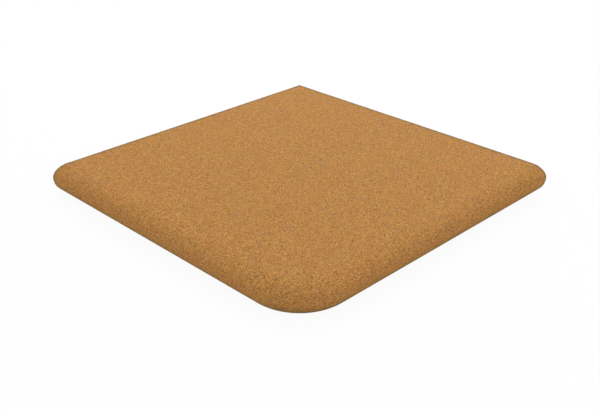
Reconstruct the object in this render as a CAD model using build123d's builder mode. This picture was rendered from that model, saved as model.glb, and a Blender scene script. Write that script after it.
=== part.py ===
from build123d import *
import os
from math import radians, sqrt, tan

# Corner stair tread tile: one piece of pressed and fired stoneware, nosed along two edges.
# Millimetres, +Z up. The origin is at the middle of the square footprint, level with the foot of the nose.
# The nosed edges face -X and -Y and meet in the rounded corner. The plain edges face +X and +Y.

# The tile
side = 330.0  # each edge, measured over the nose
tread_thickness = 14.0
nose_height = 28.0  # from the foot of the nose up to the tread surface
corner_radius = 50.0  # the rounded corner, seen from above

# The nose section
crown_reach = 16.5  # how far in from the nosed face the upper round starts
crown_fall = 10.5  # how far it drops to the widest line of the nose
foot_width = 4.5  # the flat foot between the lower round and the inner wall
wall_draft = 8.0  # degrees that the inner wall leans, so that the pressed tile leaves its mould
root_radius = 5.0  # the hollow where the inner wall meets the underside
foot_edge_radius = 1.2

# The keying grid pressed into the underside, where the mortar grips
cell_size = 22.0
cell_land = 6.0  # the flat between two cells
cell_depth = 1.6
cell_draft = 25.0  # degrees
plain_border = 8.0  # left flat along the plain edges

arris_radius = 0.8  # the rubbed-down edges of the two plain faces

# Heights, and distances in from a nosed face
half = side / 2
tread_surface = nose_height
underside = tread_surface - tread_thickness
widest_line = tread_surface - crown_fall
under_radius = widest_line  # the lower round ends level, on the foot
wall_foot = under_radius + foot_width
wall_root = wall_foot + underside * tan(radians(wall_draft))
root_end = wall_root + root_radius * tan(radians((90 - wall_draft) / 2))

# The upright axis that the rounded corner turns about, and the straight run from it to a plain edge
corner_axis = corner_radius - half
straight_run = side - corner_radius

# The section across a nose, with as much tread as the rounded corner takes.
# It is drawn looking along the nose: across the tile, then up.
with BuildSketch() as nose_section:
    with BuildLine():
        top = Line((corner_axis, tread_surface), (crown_reach - half, tread_surface))
        crown_middle = (crown_reach - half, widest_line)
        EllipticalCenterArc(crown_middle, crown_reach, crown_fall, start_angle=90, arc_size=90)
        under = CenterArc((under_radius - half, widest_line), under_radius, 180, 90)
        foot = Line(under @ 1, (wall_foot - half, 0))
        wall = Line(foot @ 1, (wall_root - half, underside))
        below = Line(wall @ 1, (corner_axis, underside))
        Line(below @ 1, top @ 0)
    make_face()
    fillet(nose_section.vertices().sort_by_distance(foot @ 1)[0], foot_edge_radius)
    fillet(nose_section.vertices().sort_by_distance(wall @ 1)[0], root_radius)

with BuildPart() as corner_tread_tile:
    # One nosed edge runs straight from the plain face to the corner, and the other is its mirror image
    with BuildSketch(Plane.XZ.offset(-half)):
        add(nose_section.sketch)
    extrude(amount=straight_run)
    mirror(about=Plane(origin=(0, 0, 0), x_dir=(1, 1, 0), z_dir=(1, -1, 0)))

    # The rounded corner turns the same section a quarter of the way round
    with BuildSketch(Plane.XZ.offset(-corner_axis)):
        add(nose_section.sketch)
    revolve(axis=Axis((corner_axis, corner_axis, 0), (0, 0, 1)), revolution_arc=90)

    # The flat of the tread reaches from the corner's axis to the plain edges
    with BuildSketch(Plane.XY.offset(underside)):
        with Locations((corner_axis, corner_axis)):
            Rectangle(straight_run, straight_run, align=(Align.MIN, Align.MIN))
    extrude(amount=tread_thickness)

    # The outlines of the two plain faces, and the upright arris between them, are rubbed down
    plain_faces = corner_tread_tile.faces().filter_by_position(Axis.X, half, half)
    plain_faces += corner_tread_tile.faces().filter_by_position(Axis.Y, half, half)
    fillet(plain_faces.edges(), arris_radius)

    # The grid keeps clear of the hollow inside the noses, also where that swings round the corner
    hollow_round = corner_radius - root_end - cell_land
    grid_start = corner_radius - hollow_round / sqrt(2)
    grid_end = side - plain_border
    pitch = cell_size + cell_land
    cells_a_side = int((grid_end - grid_start + cell_land) // pitch)
    grid_middle = (grid_start + grid_end) / 2 - half
    with BuildSketch(Plane.XY.offset(underside)):
        with Locations((grid_middle, grid_middle)):
            with GridLocations(pitch, pitch, cells_a_side, cells_a_side):
                Rectangle(cell_size, cell_size)
    extrude(amount=cell_depth, taper=cell_draft, mode=Mode.SUBTRACT)

corner_tread_tile.part.label = "corner_tread_tile"

os.makedirs("parts", exist_ok=True)
export_step(corner_tread_tile.part, "parts/corner_tread_tile.step")
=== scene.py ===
# %% [markdown]
# # A corner stair tread tile in fired clay
# The part is one piece of pressed stoneware. Two of its edges roll over into a rounded nose, and the
# noses meet in a rounded corner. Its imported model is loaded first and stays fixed: it says where the
# tile is and how large it is, and every size below is measured from it or named beside its step.

# %% Load the fixed model
from math import pi, radians, sin, tan

import bmesh
import bpy
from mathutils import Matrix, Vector


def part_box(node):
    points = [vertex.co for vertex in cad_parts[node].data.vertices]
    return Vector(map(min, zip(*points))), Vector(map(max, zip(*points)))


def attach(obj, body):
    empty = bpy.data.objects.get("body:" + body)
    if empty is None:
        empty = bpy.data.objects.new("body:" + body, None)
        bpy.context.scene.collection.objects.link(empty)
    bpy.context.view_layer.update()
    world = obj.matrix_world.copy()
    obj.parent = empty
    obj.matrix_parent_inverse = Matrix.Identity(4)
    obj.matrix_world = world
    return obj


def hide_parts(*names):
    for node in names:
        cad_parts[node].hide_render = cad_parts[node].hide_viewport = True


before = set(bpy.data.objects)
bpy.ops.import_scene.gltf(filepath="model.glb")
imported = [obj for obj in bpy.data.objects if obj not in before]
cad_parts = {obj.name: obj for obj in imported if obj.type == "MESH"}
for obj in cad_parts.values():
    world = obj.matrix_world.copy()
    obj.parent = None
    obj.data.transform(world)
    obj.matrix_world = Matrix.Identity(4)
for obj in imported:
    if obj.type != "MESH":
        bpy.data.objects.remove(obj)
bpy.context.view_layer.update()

low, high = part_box("corner_tread_tile")
side = high.x - low.x
nose_height = high.z - low.z


def mm(length):
    """A length in metres as millimetres, to print."""
    return round(length * 1000, 2)


print("the tile measures", mm(side), "mm a side and", mm(nose_height), "mm high")

# %% [markdown]
# ## The block
# A maker of the mould would start from a block, and so does this model. The block is longer than the
# tile at the back by `spare`, because its hollow is to run out through the plain edges, and the spare
# walls are cut off later.

# %% A plain block
spare = 0.060

bpy.ops.object.select_all(action="DESELECT")
block = side + spare
bpy.ops.mesh.primitive_cube_add(
    size=1,
    location=(low.x + block / 2, low.y + block / 2, low.z + nose_height / 2),
    scale=(block, block, nose_height),
)
bpy.ops.object.transform_apply(location=True, rotation=False, scale=True)
tile = bpy.context.object
tile.name = "fired_tread_tile"
bpy.ops.object.mode_set(mode="EDIT")
print("the block measures", mm(block), "mm a side")

# %% [markdown]
# ## Choosing faces and edges in code
# By hand, an edge is clicked. Here one small function selects every face or edge for which a question is
# answered with yes, such as "does it lie in this plane?". It clears the old selection first, because an
# operator acts on all that is selected. It is tried here on the upright edge at the front corner.

# %% A way to pick
X, Y, Z = 0, 1, 2


def pick(kind, wanted):
    """Selects the faces or edges for which wanted(it) is true, in edit mode, and returns their number."""
    bpy.ops.mesh.select_mode(type=kind)
    bpy.ops.mesh.select_all(action="DESELECT")
    edited = bpy.context.object.data
    mesh = bmesh.from_edit_mesh(edited)
    chosen = [item for item in (mesh.faces if kind == "FACE" else mesh.edges) if wanted(item)]
    for item in chosen:
        item.select_set(True)
    bmesh.update_edit_mesh(edited)
    return len(chosen)


def lies_at(item, axis, place, within=1e-5):
    """True if every corner of a face or edge has that coordinate."""
    return all(abs(corner.co[axis] - place) < within for corner in item.verts)


def is_front_edge(edge):
    """True for the upright edge at the front corner."""
    return lies_at(edge, X, low.x) and lies_at(edge, Y, low.y)


print("edges at the front corner:", pick("EDGE", is_front_edge))

# %% [markdown]
# ## The rounded corner
# The edge that is selected now is bevelled to the plan radius of the tile. A bevel with many segments is
# a round, and every round of this tile is made that way. Blender can hold a bevel back where it would
# use up the face beside it. That is left off here, because the rounds of the nose do use up whole walls.

# %% Round the front corner
corner_radius = 0.050
corner_steps = 24


def round_over(offset, steps):
    """Bevels the selected edges in so many steps."""
    bpy.ops.mesh.bevel(offset=offset, segments=steps, affect="EDGES", clamp_overlap=False)


def count_faces():
    """The number of faces of the tile, in edit mode."""
    return len(bmesh.from_edit_mesh(tile.data).faces)


round_over(corner_radius, corner_steps)
print("the block has", count_faces(), "faces")

# %% [markdown]
# ## The hollow underneath
# The tread itself is only 14 mm thick, and the nose hangs down around it like a lip. The underside is
# inset by the width of the lip, and then inset once more while it is pushed up, so that the inner wall
# leans a little. A pressed piece needs that lean, called draft, to leave its mould.

# %% Hollow out the block
tread_thickness = 0.014
crown_fall = 0.0105
foot_width = 0.0045
wall_draft = radians(8)

lip_depth = nose_height - tread_thickness
widest_line = nose_height - crown_fall
lip_width = widest_line + foot_width


def looks(face, axis, way, at_least=0.9):
    """True if a face looks along an axis, forwards where way is 1 and backwards where it is -1."""
    return face.normal[axis] * way > at_least


pick("FACE", lambda face: looks(face, Z, -1))
bpy.ops.mesh.inset(thickness=lip_width)
bpy.ops.mesh.inset(thickness=lip_depth * tan(wall_draft), depth=-lip_depth)
print("the lip is", mm(lip_width), "mm wide at its foot and", mm(lip_depth), "mm deep")

# %% [markdown]
# ## The two plain edges
# At the back the tile butts against its neighbours, so it ends in two flat faces. Bisect cuts the block
# there, throws the spare part away and closes the cut with one face.

# %% Cut the plain faces
for direction in ((1, 0, 0), (0, 1, 0)):
    bpy.ops.mesh.select_all(action="SELECT")
    bpy.ops.mesh.bisect(plane_co=(high.x, high.y, 0), plane_no=direction, use_fill=True, clear_outer=True)


def is_plain(face):
    """True for the two flat faces at the back."""
    return lies_at(face, X, high.x) or lies_at(face, Y, high.y)


print("plain faces:", pick("FACE", is_plain))

# %% [markdown]
# ## The nose
# Seen from its end, the nose is half an egg. The upper part is flat and wide, a quarter of an ellipse,
# and the lower part is a quarter of a circle. A bevel reaches equally far into both of its faces, so
# between square faces it gives the circle. For the ellipse the block is first stretched upwards, its
# top edge is bevelled, and the stretch is undone, which flattens the round. The lower edge gets an
# ordinary bevel that uses up what is left of the wall.

# %% Round the nose over
crown_reach = 0.0165
crown_steps = 20
under_steps = 20
upright_within = 0.01
outwards_by = 0.5
weld_distance = 0.00002


def is_nosed(edge):
    """True for an edge that isn't part of a plain face."""
    return not any(is_plain(face) for face in edge.link_faces)


def stretch_upwards(factor):
    """Stretches the whole block upwards from the floor."""
    bpy.ops.mesh.select_all(action="SELECT")
    bpy.ops.transform.resize(value=(1, 1, factor), center_override=(0, 0, low.z))


stretch = crown_reach / crown_fall
stretch_upwards(stretch)
stretched_top = low.z + nose_height * stretch
pick("EDGE", lambda edge: lies_at(edge, Z, stretched_top) and is_nosed(edge))
round_over(crown_reach, crown_steps)
stretch_upwards(1 / stretch)


def faces_out(edge):
    """True if one face beside the edge stands upright and looks away from the middle of the tile."""
    upright = [face.normal for face in edge.link_faces if abs(face.normal.z) < upright_within]
    return any(normal.x + normal.y < -outwards_by for normal in upright)


pick("EDGE", lambda edge: lies_at(edge, Z, low.z) and is_nosed(edge) and faces_out(edge))
round_over(widest_line, under_steps)
bpy.ops.mesh.select_all(action="SELECT")
bpy.ops.mesh.remove_doubles(threshold=weld_distance)
print("the tile has", count_faces(), "faces")

# %% [markdown]
# ## The inner side of the lip
# Clay doesn't hold a sharp inner corner. The root, where the lip meets the underside, is a hollow of
# 5 mm radius, and the inner edge of the foot is just broken. For a round of a given radius in a corner
# that isn't square, the bevel starts further away or nearer: radius times the tangent of half the turn.

# %% Soften the root and the foot
root_radius = 0.005
foot_edge_radius = 0.0012
root_steps = 8
foot_steps = 4
level_from = 0.5

half_turn = (radians(90) - wall_draft) / 2
pick("EDGE", lambda edge: lies_at(edge, Z, low.z + lip_depth) and is_nosed(edge))
round_over(root_radius * tan(half_turn), root_steps)


def is_foot_edge(edge):
    """True for the inner edge of the foot: one of its faces is level, and the other leans inwards."""
    rising = [face for face in edge.link_faces if abs(face.normal.z) < level_from]
    return lies_at(edge, Z, low.z) and is_nosed(edge) and len(rising) == 1


pick("EDGE", is_foot_edge)
round_over(foot_edge_radius * tan(half_turn), foot_steps)
print("the tile has", count_faces(), "faces")

# %% [markdown]
# ## The arrises
# The long edges of the plain faces are rubbed down before firing, and the sand in the clay leaves them
# slightly uneven. They are divided every 2 mm, bevelled, and the new corners are then moved by chance
# up to a tenth of a millimetre in or out. The seed makes every run give the same edge.

# %% Rub down the plain edges
arris_radius = 0.0008
arris_steps = 4
arris_pace = 0.002
arris_wear = 0.0001
wear_seed = 4


def is_long_arris(edge):
    """True for the straight edges of a plain face that run from end to end of the tile."""
    return any(is_plain(face) for face in edge.link_faces) and edge.calc_length() > side / 2


pick("EDGE", is_long_arris)
bpy.ops.mesh.subdivide(number_cuts=int(side / arris_pace))
pick("EDGE", lambda edge: any(is_plain(face) for face in edge.link_faces))
round_over(arris_radius, arris_steps)


def is_worn(edge):
    """True for the edges that run inside the bevelled strips of the two plain faces."""
    past = [max(corner.co.x - high.x, corner.co.y - high.y) + arris_radius for corner in edge.verts]
    return all(weld_distance < reach < arris_radius - weld_distance for reach in past)


print("worn edges:", pick("EDGE", is_worn))
bpy.ops.transform.vertex_random(offset=arris_wear, uniform=0.0, normal=1.0, seed=wear_seed)
bpy.ops.object.mode_set(mode="OBJECT")

# %% [markdown]
# ## The keying grid
# Mortar needs something to grip, so shallow square cells are pressed into the underside. Each could be
# inset in the mesh of the underside, but that needs a cut along every side of every cell first. So one
# punch is modelled instead, as a mould maker would: a low block with rounded upright edges, whose upper
# face is drawn in for draft. It starts a little below the underside, to cut it cleanly, and is so much
# wider there that the cell has its size at the underside. How many fit is worked out from the room
# between the hollow of the noses and the plain edges.

# %% One punch
cell_size = 0.022
cell_land = 0.006
cell_depth = 0.0016
cell_draft = radians(25)
cell_corner_radius = 0.0025
cell_corner_steps = 4
plain_border = 0.008
below = 0.002

root_end = lip_width + lip_depth * tan(wall_draft) + root_radius * tan(half_turn)
hollow_round = corner_radius - root_end - cell_land
grid_start = corner_radius - hollow_round * sin(radians(45))
grid_end = side - plain_border
pitch = cell_size + cell_land
cells_a_side = int((grid_end - grid_start + cell_land) // pitch)
grid_width = cells_a_side * pitch - cell_land
first_cell = low.x + (grid_start + grid_end - grid_width + cell_size) / 2
underside = low.z + lip_depth
foot_of_punch = cell_size + 2 * below * tan(cell_draft)
head_of_punch = cell_size - 2 * cell_depth * tan(cell_draft)

bpy.ops.object.select_all(action="DESELECT")
bpy.ops.mesh.primitive_cube_add(
    size=1,
    location=(first_cell, first_cell, underside + (cell_depth - below) / 2),
    scale=(foot_of_punch, foot_of_punch, cell_depth + below),
)
bpy.ops.object.transform_apply(location=True, rotation=False, scale=True)
punch = bpy.context.object
bpy.ops.object.mode_set(mode="EDIT")
pick("EDGE", lambda edge: edge.calc_length() < cell_size / 2)
round_over(cell_corner_radius, cell_corner_steps)
pick("FACE", lambda face: looks(face, Z, 1))
drawn_in = head_of_punch / foot_of_punch
bpy.ops.transform.resize(value=(drawn_in, drawn_in, 1), center_override=(first_cell, first_cell, 0))
bpy.ops.object.mode_set(mode="OBJECT")
print(cells_a_side, "cells a side, one every", mm(pitch), "mm")

# %% [markdown]
# ## Pressing it in
# Two array modifiers repeat the punch along both edges, and a Boolean modifier then takes the whole grid
# out of the tile at once. Applying the arrays one after the other gives rows first and then rows of rows.
# The punch has done its work after that and is removed.

# %% Press the grid
for axis in (X, Y):
    row = punch.modifiers.new("row", "ARRAY")
    row.count = cells_a_side
    row.use_relative_offset = False
    row.use_constant_offset = True
    row.constant_offset_displace = [pitch if i == axis else 0 for i in range(3)]
    bpy.ops.object.modifier_apply(modifier=row.name)

bpy.context.view_layer.objects.active = tile
press = tile.modifiers.new("press", "BOOLEAN")
press.operation = "DIFFERENCE"
press.solver = "EXACT"
press.object = punch
bpy.ops.object.modifier_apply(modifier=press.name)
bpy.data.objects.remove(punch)
print("the tile has", len(tile.data.polygons), "faces")

# %% [markdown]
# ## Smooth where round, flat where flat
# The nose is a chain of narrow strips. Smooth shading hides them, but beside a large flat face it also
# bends the light on the flat. A weighted normal modifier lets the larger face win, so the tread stays
# flat up to the line where the nose starts to fall.

# %% Shade the tile
smooth_up_to = radians(30)

bpy.ops.object.select_all(action="DESELECT")
tile.select_set(True)
bpy.context.view_layer.objects.active = tile
bpy.ops.object.shade_smooth_by_angle(angle=smooth_up_to)
weighted = tile.modifiers.new("weighted", "WEIGHTED_NORMAL")
weighted.keep_sharp = True
bpy.ops.object.modifier_apply(modifier=weighted.name)

measured = bmesh.new()
measured.from_mesh(tile.data)
litres = measured.calc_volume() * 1000
open_edges = sum(1 for edge in measured.edges if not edge.is_manifold)
measured.free()
print("the tile holds", round(litres, 3), "litres of clay and has", open_edges, "open edges")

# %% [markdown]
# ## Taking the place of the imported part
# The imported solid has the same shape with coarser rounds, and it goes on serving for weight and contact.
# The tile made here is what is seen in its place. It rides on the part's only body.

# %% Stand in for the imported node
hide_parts("corner_tread_tile")
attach(tile, "root")
corners = [corner.co for corner in tile.data.vertices]
stands_out = max(max(corner.x, corner.y) for corner in corners) - high.x
print("the worn arris stands out from the packed faces by at most", mm(stands_out), "mm")

# %% [markdown]
# ## Colours and nodes
# Two small helpers serve every material below. Colours are written as a paint program shows them, in
# sRGB, and Blender calculates with linear light, so one function turns the first into the second. The
# other adds a node, labels it, joins it up in one go and places it in rows, so that the finished tree can
# be read in the node editor.

# %% Colours and nodes
node_columns = 8
column_width = 200
row_height = 320


def colour(hex_code):
    """An sRGB hex colour such as "#bb8650" as linear red, green, blue and alpha."""
    parts = [int(hex_code[i : i + 2], 16) / 255 for i in (1, 3, 5)]
    return [p / 12.92 if p <= 0.04045 else ((p + 0.055) / 1.055) ** 2.4 for p in parts] + [1.0]


def add_node(tree, kind, title, inputs=None, **settings):
    """Adds one node. An input is a value, one output of a node, or a node, whose first output is used."""
    row, column = divmod(len(tree.nodes), node_columns)
    node = tree.nodes.new(kind)
    node.label = title
    node.location = (column * column_width, -row * row_height)
    for name, value in settings.items():
        setattr(node, name, value)
    for name, value in (inputs or {}).items():
        socket = node.inputs[name]
        if isinstance(name, str):
            socket = next(s for s in node.inputs if s.name == name and s.enabled)
        if isinstance(value, bpy.types.Node):
            value = next(s for s in value.outputs if s.enabled)
        if isinstance(value, bpy.types.NodeSocket):
            tree.links.new(value, socket)
        else:
            socket.default_value = value
    return node


middle_sand = "#c48a46"
print("the ochre of the sand in linear light:", [round(part, 3) for part in colour(middle_sand)[:3]])

# %% [markdown]
# ## The clay body
# Unglazed clinker is a stoneware clay with sand and a little iron in it, pressed in a steel mould and
# fired until it is dense. There is no glaze over it, so what the eye gets is the clay itself: matt, ochre
# all through, grainy like fine sandpaper, and without a highlight. The ochre drifts between a yellower
# and a redder tone over about two centimetres, because the clay never mixes perfectly, and a grit of a
# quarter of a millimetre makes it mealy. That grit is finer than a pixel of the picture. It is kept at
# its real size for close views, because the sand that lies over it is what shows from further away.
# Every pattern here reads Object coordinates, which are real metres on this piece, so a grain has the
# same size on the top, round the nose and on the underside, with no seam and no stretching. An unwrapped
# map could carry the grain too, but it would need seams over the nose, where everyone looks.

# %% Ochre that drifts
stoneware = bpy.data.materials.new("pressed_unglazed_stoneware")
stoneware.use_nodes = True
clay = stoneware.node_tree
clay.nodes.clear()
coordinates = add_node(clay, "ShaderNodeTexCoord", "coordinates")
place = coordinates.outputs["Object"]

drift_size = 0.02
grit_size = 0.00025
yellow_ochre = colour("#be924a")
red_ochre = colour("#d08848")
grit_brown = colour("#9a6526")

drift = add_node(
    clay,
    "ShaderNodeTexNoise",
    "drift",
    {"Vector": place, "Scale": 1 / drift_size, "Detail": 4.0, "Roughness": 0.65},
)
drift_share = add_node(
    clay,
    "ShaderNodeMapRange",
    "drift, spread out",
    {"Value": drift, "From Min": 0.35, "From Max": 0.65},
)
ochre = add_node(
    clay,
    "ShaderNodeMix",
    "yellow to red ochre",
    {"Factor": drift_share, "A": yellow_ochre, "B": red_ochre},
    data_type="RGBA",
)
grit = add_node(
    clay,
    "ShaderNodeTexNoise",
    "grit",
    {"Vector": place, "Scale": 1 / grit_size, "Detail": 2.0, "Roughness": 0.7},
)
grit_share = add_node(
    clay,
    "ShaderNodeMapRange",
    "grit, spread out",
    {"Value": grit, "From Min": 0.5, "From Max": 0.75, "To Max": 0.5},
)
body = add_node(
    clay,
    "ShaderNodeMix",
    "clay body",
    {"Factor": grit_share, "A": ochre, "B": grit_brown},
    data_type="RGBA",
)
print("the ochre drifts over", mm(drift_size), "mm and its grit is", mm(grit_size), "mm")

# %% [markdown]
# ## The sand
# What gives this surface its look is sand of about half a millimetre. A pixel of the picture covers
# about four grains at the front of the tile and sixteen at the back. So the sand is drawn at its real
# size and averages out to a fine salt and pepper, which is stronger near the camera than far away, as on
# the real tile. A noise texture gives blurred blotches instead. A Voronoi texture is a good model of
# packed grains: each cell holds one grain, and its Color output is a random colour that is the same all
# over the cell, so one channel of it can pick the grain's tone from a ramp. Its Distance output makes the
# grain round, with clay between it and its neighbours. Perfect balls look drawn, so the coordinates are
# first stirred a little with noise.

# %% Grains of sand
sand_spacing = 0.0005
stir_size = 0.0007
stir_amount = 0.0004

stir = add_node(
    clay, "ShaderNodeTexNoise", "stir", {"Vector": place, "Scale": 1 / stir_size, "Detail": 1.0}
)
stirred = add_node(
    clay,
    "ShaderNodeVectorMath",
    "stirred place",
    {0: stir.outputs["Color"], 1: (stir_amount, stir_amount, stir_amount), 2: place},
    operation="MULTIPLY_ADD",
)
sand = add_node(clay, "ShaderNodeTexVoronoi", "sand", {"Vector": stirred, "Scale": 1 / sand_spacing})
lot = add_node(clay, "ShaderNodeSeparateColor", "one number a grain", {"Color": sand.outputs["Color"]})
tones = add_node(clay, "ShaderNodeValToRGB", "tones of sand", {"Fac": lot.outputs["Red"]})
sand_ramp = tones.color_ramp.elements
sand_ramp[0].color = colour("#7b4a12")
sand_ramp[1].color = colour("#f2ba77")
for share, tone in ((0.15, "#996022"), (0.5, middle_sand), (0.85, "#dfa662")):
    sand_ramp.new(share).color = colour(tone)
grains = add_node(
    clay,
    "ShaderNodeMapRange",
    "inside a grain",
    {"Value": sand.outputs["Distance"], "From Min": 0.8, "From Max": 0.5},
)
sanded = add_node(
    clay, "ShaderNodeMix", "sand in clay", {"Factor": grains, "A": body, "B": tones}, data_type="RGBA"
)
print("there is about one grain of sand every", mm(sand_spacing), "mm")

# %% [markdown]
# ## Kiln smoke
# Here and there the smoke of the kiln has left a faint grey cloud, a few millimetres across, in which
# the ochre is less yellow and a little darker. It lies over the sand and the clay alike. Only the upper
# half of a noise is used, so that half of the surface stays clean and the clouds stand apart.

# %% Clouds of smoke
cloud_size = 0.005
smoke_share = 0.3
smoke_grey = colour("#957a60")

cloud = add_node(
    clay,
    "ShaderNodeTexNoise",
    "cloud",
    {"Vector": place, "Scale": 1 / cloud_size, "Detail": 1.0, "Roughness": 0.5},
)
smoke = add_node(
    clay,
    "ShaderNodeMapRange",
    "smoke",
    {"Value": cloud, "From Min": 0.5, "From Max": 0.75, "To Max": smoke_share},
)
smoked = add_node(
    clay,
    "ShaderNodeMix",
    "smoked clay",
    {"Factor": smoke, "A": sanded, "B": smoke_grey},
    data_type="RGBA",
)
print("the clouds of smoke are about", mm(cloud_size), "mm across")

# %% [markdown]
# ## Specks
# Among the sand are rarer things: dark pepper, which is burnt-out organic matter, larger blots where a
# grain of iron ore melted, and pale quartz. All are round specks scattered by chance, and so are the
# pinholes, so one function makes them. Each Voronoi cell holds one place for a speck, a random number
# decides if there is one and how large it is, and the distance to that place makes it round.

# %% Specks
def scatter(title, spacing, share, radius, softness):
    """A mask for round specks up to a radius, with one chance in each spacing, sizes in metres."""
    cells = add_node(clay, "ShaderNodeTexVoronoi", title, {"Vector": stirred, "Scale": 1 / spacing})
    colours = cells.outputs["Color"]
    chance = add_node(clay, "ShaderNodeSeparateColor", title + ", chance", {"Color": colours})
    size = add_node(
        clay,
        "ShaderNodeMapRange",
        title + ", size",
        {"Value": chance.outputs["Green"], "From Min": 1 - share, "To Max": radius / spacing},
    )
    inside = add_node(
        clay,
        "ShaderNodeMath",
        title + ", inside",
        {0: size, 1: cells.outputs["Distance"]},
        operation="SUBTRACT",
    )
    return add_node(
        clay, "ShaderNodeMapRange", title + ", mask", {"Value": inside, "From Max": softness / spacing}
    )


pepper = scatter("pepper", spacing=0.0018, share=0.6, radius=0.0007, softness=0.0003)
iron = scatter("iron blots", spacing=0.006, share=0.1, radius=0.0018, softness=0.0016)
quartz = scatter("quartz", spacing=0.0037, share=0.25, radius=0.0006, softness=0.0004)
pits = scatter("pinholes", spacing=0.0016, share=0.3, radius=0.00022, softness=0.0001)

speckled = smoked
for title, mask, tone in (
    ("pepper", pepper, "#482c12"),
    ("iron blots", iron, "#5e4a36"),
    ("quartz", quartz, "#ecca96"),
    # The dark tone of the pinholes is painted shade inside them.
    ("pinholes", pits, "#5c3c1c"),
):
    speckled = add_node(
        clay, "ShaderNodeMix", title, {"Factor": mask, "A": speckled, "B": colour(tone)}, data_type="RGBA"
    )
print("the material has", len(clay.nodes), "nodes so far")

# %% [markdown]
# ## Darker edges, and painted shade at the foot
# The edges are drawn darker than the rest. Along the top of the two plain edges the clay turns a little
# greyer and darker in a band of 6 mm. A narrower band goes on round the rim of each plain face, down the
# end of the nose. The lower part of the nose, where it turns down towards the floor, is darker and greyer
# too: that is painted shade. All three could be painted on the mesh, but here they are worked out from
# the coordinates: how near a point is to the plane of a plain face, how far it is below the tread, and
# how high it is above the foot. The borders waver by half a millimetre or so, following the same noise as
# the clouds of smoke. A straight border would look like a line drawn with a ruler.

# %% Where the edge bands and the painted foot shade lie
band_reach = 0.006
band_full = 0.002
rim_reach = 0.0045
# Painted shade on the lower nose starts this high above the floor and is full at the next height.
foot_shade_reach = 0.0135
foot_shade_full = 0.006
border_waver = 0.004

at_the_arris = high.x + high.z
along = add_node(clay, "ShaderNodeSeparateXYZ", "along", {"Vector": place})
waver = add_node(
    clay,
    "ShaderNodeMath",
    "waver",
    {0: cloud, 1: border_waver, 2: -border_waver / 2},
    operation="MULTIPLY_ADD",
)
nearer_plain = add_node(
    clay,
    "ShaderNodeMath",
    "nearer plain face",
    {0: along.outputs["X"], 1: along.outputs["Y"]},
    operation="MAXIMUM",
)
outwards = add_node(
    clay, "ShaderNodeMath", "outwards, uneven", {0: nearer_plain, 1: waver}, operation="ADD"
)
upwards = add_node(
    clay, "ShaderNodeMath", "outwards and up", {0: outwards, 1: along.outputs["Z"]}, operation="ADD"
)
above_foot = add_node(
    clay, "ShaderNodeMath", "height, uneven", {0: along.outputs["Z"], 1: waver}, operation="SUBTRACT"
)
facing = add_node(clay, "ShaderNodeSeparateXYZ", "facing", {"Vector": coordinates.outputs["Normal"]})
faces_back = add_node(
    clay,
    "ShaderNodeMath",
    "faces back",
    {0: facing.outputs["X"], 1: facing.outputs["Y"]},
    operation="MAXIMUM",
)
print("the toast reaches", mm(band_reach), "mm in from the arris and", mm(foot_shade_reach), "mm up the nose")

# %% [markdown]
# ## Darkening the edges, and painting shade at the foot
# Each of the three now fades in from clean clay to full darkening. The plain faces lie in the plane of
# the narrow band from edge to edge, so their normal keeps that band off them. The strongest of the three
# picks a tone, which is multiplied into the clay so that the sand still shows through it. Along the edges
# that tone is a darker, greyer band; at the foot it is painted shade.

# %% Darken the edges and paint shade at the foot
light_darkening = colour("#f1f9ff")
full_darkening = colour("#d3e0f2")

arris_band = add_node(
    clay,
    "ShaderNodeMapRange",
    "towards the arris",
    {
        "Value": upwards,
        "From Min": at_the_arris - band_reach,
        "From Max": at_the_arris - band_full,
    },
)
# Painted shade: the nose turns darker and greyer towards the floor, where it turns down into shade.
painted_foot_shade = add_node(
    clay,
    "ShaderNodeMapRange",
    "towards the foot",
    {"Value": above_foot, "From Min": low.z + foot_shade_reach, "From Max": low.z + foot_shade_full},
)
off_the_plain = add_node(
    clay,
    "ShaderNodeMapRange",
    "off the plain face",
    {"Value": faces_back, "From Min": 0.95, "From Max": 0.7},
)
rim_band = add_node(
    clay,
    "ShaderNodeMapRange",
    "towards the rim",
    {
        "Value": outwards,
        "From Min": high.x - rim_reach,
        "From Max": high.x - band_full,
        "To Max": off_the_plain,
    },
)
upper_bands = add_node(
    clay, "ShaderNodeMath", "arris and rim", {0: arris_band, 1: rim_band}, operation="MAXIMUM"
)
darkening = add_node(clay, "ShaderNodeMath", "darkening", {0: upper_bands, 1: painted_foot_shade}, operation="MAXIMUM")
darkening_tones = add_node(clay, "ShaderNodeValToRGB", "tones of toast", {"Fac": darkening})
darkening_ramp = darkening_tones.color_ramp.elements
darkening_ramp[0].color = colour("#ffffff")
darkening_ramp[1].color = full_darkening
darkening_ramp.new(0.5).color = light_darkening
darkened = add_node(
    clay,
    "ShaderNodeMix",
    "fired clay",
    {"Factor": 1.0, "A": speckled, "B": darkening_tones},
    data_type="RGBA",
    blend_type="MULTIPLY",
)
print("full toast keeps", [round(part, 2) for part in full_darkening[:3]], "of the red, green and blue")

# %% [markdown]
# ## Relief and sheen
# The sand stands a few hundredths of a millimetre proud of the clay, and the pinholes go in. A Bump node
# whose distance is 1 takes its height in metres, so the real relief can be written down. The surface is
# matt everywhere, which is a high roughness. It is also porous and sandy, so it mirrors less than a
# glazed tile would, and the specular level is low. Only a grain of quartz is smooth enough to glint.

# %% The surface
grain_relief = 0.00004
grit_relief = 0.00002
pit_depth = 0.00008
clay_roughness = 0.86
quartz_roughness = 0.4

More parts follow.
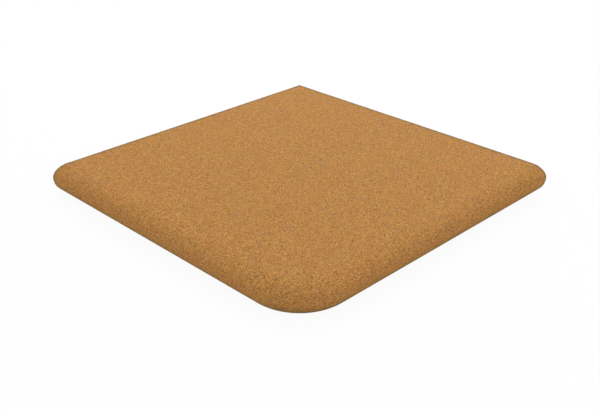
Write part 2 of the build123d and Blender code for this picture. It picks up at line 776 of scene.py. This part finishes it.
raised = add_node(
    clay, "ShaderNodeMath", "grains stand out", {0: grains, 1: grain_relief}, operation="MULTIPLY"
)
mealy = add_node(
    clay, "ShaderNodeMath", "with grit", {0: grit, 1: grit_relief, 2: raised}, operation="MULTIPLY_ADD"
)
height = add_node(
    clay, "ShaderNodeMath", "with pinholes", {0: pits, 1: -pit_depth, 2: mealy}, operation="MULTIPLY_ADD"
)
relief = add_node(clay, "ShaderNodeBump", "relief", {"Strength": 1.0, "Distance": 1.0, "Height": height})
roughness = add_node(
    clay,
    "ShaderNodeMapRange",
    "roughness",
    {"Value": quartz, "To Min": clay_roughness, "To Max": quartz_roughness},
)
surface = add_node(
    clay,
    "ShaderNodeBsdfPrincipled",
    "stoneware",
    {
        "Base Color": darkened,
        "Roughness": roughness,
        "Normal": relief,
        "IOR": 1.5,
        "Specular IOR Level": 0.15,
        "Diffuse Roughness": 0.3,
    },
)
add_node(clay, "ShaderNodeOutputMaterial", "out", {"Surface": surface})
tile.data.materials.clear()
tile.data.materials.append(stoneware)
print(stoneware.name, "is made of", len(clay.nodes), "nodes")

# %% [markdown]
# ## The floor
# The tile lies on white paper. The picture's background is pure white, but paper under a lamp is never
# quite that. So the floor looks different to the camera than to the tile: rays from the camera see
# mostly plain white with a faint shadow in it, and the light that the floor throws back up at the nose
# comes from a light grey. Light Path tells the two kinds of ray apart. A ray that was mirrored or that
# went through glass counts as seen too, because it shows the background to the camera.

# %% Lay the floor
floor_size = 12.0
shadow_share = 0.06
plain_white = colour("#ffffff")
light_grey = colour("#dadada")

bpy.ops.object.select_all(action="DESELECT")
bpy.ops.mesh.primitive_plane_add(size=floor_size, location=(0, 0, low.z))
floor = bpy.context.object
floor.name = "studio_floor"
paper = bpy.data.materials.new("white_paper")
paper.use_nodes = True
sheet = paper.node_tree
sheet.nodes.clear()


def seen_by_camera(tree):
    """1 for a ray that shows the background: from the camera, mirrored or through glass."""
    ray = add_node(tree, "ShaderNodeLightPath", "kind of ray")
    mirrored = add_node(
        tree,
        "ShaderNodeMath",
        "mirrored or through glass",
        {0: ray.outputs["Is Glossy Ray"], 1: ray.outputs["Is Transmission Ray"]},
        operation="ADD",
    )
    return add_node(
        tree,
        "ShaderNodeMath",
        "seen",
        {0: ray.outputs["Is Camera Ray"], 1: mirrored},
        operation="ADD",
        use_clamp=True,
    )


seen = seen_by_camera(sheet)
grey = add_node(sheet, "ShaderNodeBsdfDiffuse", "what the tile gets back", {"Color": light_grey})
white = add_node(sheet, "ShaderNodeEmission", "plain white", {"Color": plain_white, "Strength": 1.0})
shaded = add_node(sheet, "ShaderNodeBsdfDiffuse", "white that takes a shadow", {"Color": plain_white})
page = add_node(sheet, "ShaderNodeMixShader", "the page", {0: shadow_share, 1: white, 2: shaded})
both = add_node(sheet, "ShaderNodeMixShader", "seen or lit by", {0: seen, 1: grey, 2: page})
add_node(sheet, "ShaderNodeOutputMaterial", "out", {"Surface": both})
floor.data.materials.append(paper)
print("the floor is", floor_size, "m wide")

# %% [markdown]
# ## Light
# The light is that of a photo tent: white from all sides, and a little stronger from above and behind on
# the right. The world is the tent, and one large lamp is the softbox. Together they reach about 1 on a
# face that looks up, so that a colour comes out as it is written. Where it is seen, the tent is white. The
# power of the softbox is worked out from the share that it has to give: its light is divided by pi at the
# lamp and by pi again at the clay, thins with the square of the distance, and arrives at a slant.

# %% The tent and the softbox
tent_strength = 0.765
softbox_share = 0.28
softbox_size = 1.4
softbox_place = Vector((0.95, 0.50, 1.25))

tent = bpy.data.worlds.new("photo_tent")
bpy.context.scene.world = tent
tent.use_nodes = True
sky = tent.node_tree
sky.nodes.clear()
sight = seen_by_camera(sky)
lit = add_node(sky, "ShaderNodeBackground", "tent", {"Color": plain_white, "Strength": tent_strength})
backdrop = add_node(sky, "ShaderNodeBackground", "backdrop", {"Color": plain_white, "Strength": 1.0})
around = add_node(sky, "ShaderNodeMixShader", "around", {0: sight, 1: lit, 2: backdrop})
add_node(sky, "ShaderNodeOutputWorld", "out", {"Surface": around})

distance = softbox_place.length
slant = softbox_place.z / distance
bpy.ops.object.light_add(type="AREA", location=softbox_place)
softbox = bpy.context.object
softbox.name = "softbox"
softbox.rotation_euler = softbox_place.to_track_quat("Z", "Y").to_euler()
softbox.data.size = softbox_size
softbox.data.energy = softbox_share * pi**2 * distance**2 / slant
bpy.context.scene.view_settings.view_transform = "Standard"
print("the softbox gives", round(softbox.data.energy, 2), "W from", round(distance, 2), "m")

# %% [markdown]
# ## The camera
# The camera stands on the line through the rounded corner and the middle of the tile, 75 cm from the
# middle and 35 cm above the tread, and looks down at it by 27 degrees. Its lens is a normal one, a little
# over 50 mm on a sensor 36 mm wide. The focal length was fitted in pixels of the picture and is worked
# out from them.

# %% Set up the camera
camera_reach = 0.7539
camera_rise = 0.3469
camera_pitch = radians(27.115)
camera_turn = radians(-45.026)
picture_width = 600
focal_pixels = 882.2
sensor_width = 36

camera_offset = camera_reach * sin(radians(45))
bpy.ops.object.camera_add(
    location=(-camera_offset, -camera_offset, high.z + camera_rise),
    rotation=(radians(90) - camera_pitch, 0, camera_turn),
)
camera = bpy.context.object
camera.data.sensor_width = sensor_width
camera.data.lens = sensor_width * focal_pixels / picture_width
bpy.context.scene.camera = camera
print("the lens has a focal length of", round(camera.data.lens, 1), "mm")
